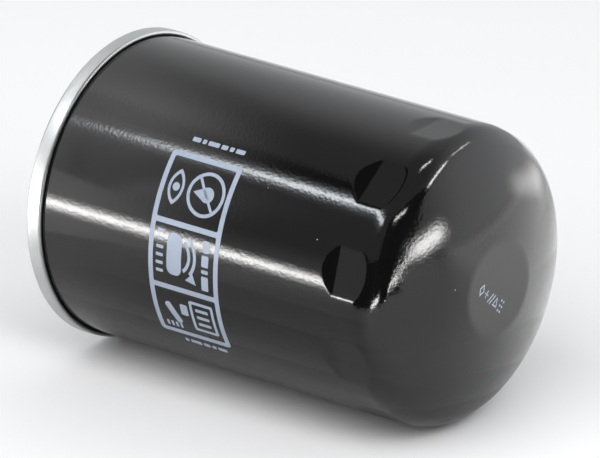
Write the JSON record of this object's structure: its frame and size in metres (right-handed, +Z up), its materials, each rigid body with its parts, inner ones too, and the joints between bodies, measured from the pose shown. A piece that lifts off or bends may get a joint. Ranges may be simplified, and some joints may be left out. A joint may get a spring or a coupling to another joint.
{
  "type": "spin-on oil filter",
  "caption": "Spin-on oil filter: black domed can with wrench flutes, rolled bright rim, sealing ring, threaded base, pleated element, bypass and anti-drain valves.",
  "frame": {"origin": "on the filter's axis, where the full thread of the stud hole starts in the tapping plate", "axes": "+X along the filter's axis towards the domed end, -X out of the threaded hole towards the engine, +Z up as the filter lies on its side"},
  "size_m": [0.1446, 0.096, 0.096],
  "materials": {
    "black_paint": "gloss",
    "tinned_steel": "satin",
    "sealing_compound": "matte",
    "plate_steel": "satin",
    "gasket_rubber": "satin",
    "valve_rubber": "matte",
    "zinc_steel": "satin",
    "potting": "satin",
    "paper": "matte",
    "spring_steel": "satin"
  },
  "bodies": {
    "housing": {"can": "black_paint", "seaming_lid": "tinned_steel", "seam_sealant": "sealing_compound", "tapping_plate": "plate_steel", "outer_gasket": "gasket_rubber", "drain_valve_hub": "valve_rubber", "lower_end_disc": "zinc_steel", "lower_adhesive": "potting", "filter_paper": "paper", "pleat_seam_clip": "zinc_steel", "centre_tube": "zinc_steel", "upper_adhesive": "potting", "upper_end_disc": "zinc_steel", "bypass_valve_seat": "zinc_steel", "bypass_valve_cage": "zinc_steel", "bypass_valve_spring": "spring_steel", "support_spring": "spring_steel"},
    "drain_valve": {"drain_valve_lip": "valve_rubber"},
    "bypass_valve": {"bypass_valve_seal": "gasket_rubber", "bypass_valve_disc": "zinc_steel", "bypass_valve_stem": "plate_steel"}
  },
  "joints": [
    {"name": "bypass_valve_lift", "type": "slide", "parent": "housing", "child": "bypass_valve", "axis": [-1, 0, 0], "range_m": [0, 0.004], "stiffness_N_per_m": 3000, "springref_m": -0.012, "deforming": ["bypass_valve_spring"]},
    {"name": "drain_valve_lift", "type": "slide", "parent": "housing", "child": "drain_valve", "axis": [1, 0, 0], "range_m": [0, 0.0025], "stiffness_N_per_m": 300, "springref_m": -0.001}
  ]
}
